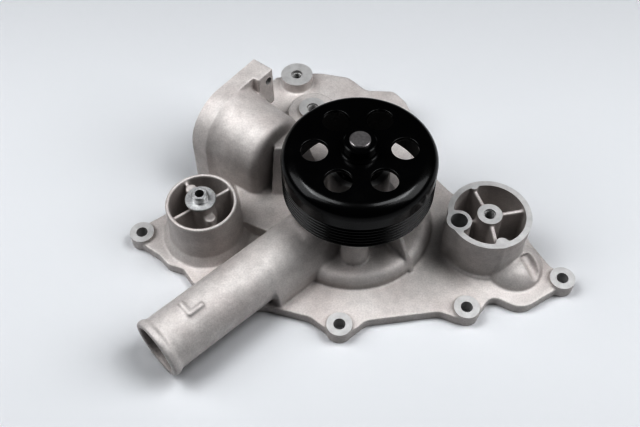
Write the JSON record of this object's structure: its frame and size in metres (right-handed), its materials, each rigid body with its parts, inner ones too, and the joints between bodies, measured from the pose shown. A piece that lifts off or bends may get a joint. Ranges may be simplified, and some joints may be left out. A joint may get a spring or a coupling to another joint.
{
  "type": "automotive water pump",
  "caption": "Belt-driven coolant pump: cast housing with hose neck, thermostat housing and two idler drums, a ribbed pulley, shaft bearing, face seal and impeller.",
  "frame": {"origin": "on the shaft's axis, in the plane of the gasket face", "axes": "+Z along the shaft from the gasket face to the pulley, +X from the left idler drum to the right one"},
  "size_m": [0.3568, 0.3092, 0.1125],
  "materials": {
    "cast_aluminium": "blasted sand casting, satin",
    "black_coat": "gloss black electrocoat",
    "shaft_steel": "turned",
    "insert_steel": "bright zinc",
    "bearing_steel": "ground",
    "cage_plastic": "satin",
    "seal_rubber": "matt",
    "brass": "drawn",
    "carbon": "lapped carbon",
    "ceramic": "lapped ceramic",
    "impeller_steel": "pressed and plated"
  },
  "bodies": {
    "housing": {"pump_housing": "cast_aluminium", "drum_insert": "insert_steel", "weep_plug": "cage_plastic", "bearing_outer_race": "bearing_steel", "bearing_front_seal": "seal_rubber", "bearing_rear_seal": "seal_rubber", "carbon_ring": "carbon", "seal_case": "brass", "seal_bellows": "seal_rubber", "seal_spring": "bearing_steel"},
    "rotor": {"shaft": "shaft_steel", "slinger": "seal_rubber", "mating_ring_boot": "seal_rubber", "mating_ring": "ceramic", "impeller": "impeller_steel", "pulley_hub": "black_coat", "pulley": "black_coat"},
    "ball_set": {"ball_cage": "cage_plastic", "bearing_balls": "bearing_steel"},
    "roller_set": {"roller_cage": "cage_plastic", "bearing_rollers": "bearing_steel"}
  },
  "joints": [
    {"name": "rotor_spin", "type": "hinge", "parent": "housing", "child": "rotor", "pos_m": [0, 0, 0.065], "axis": [0, 0, 1], "continuous": true},
    {"name": "ball_set_spin", "type": "hinge", "parent": "housing", "child": "ball_set", "pos_m": [0, 0, 0.055], "axis": [0, 0, 1], "continuous": true},
    {"name": "roller_set_spin", "type": "hinge", "parent": "housing", "child": "roller_set", "pos_m": [0, 0, 0.073], "axis": [0, 0, 1], "continuous": true}
  ],
  "couplings": [
    {"joint": "ball_set_spin", "follows": "rotor_spin", "ratio": 0.3387},
    {"joint": "roller_set_spin", "follows": "rotor_spin", "ratio": 0.3911}
  ]
}
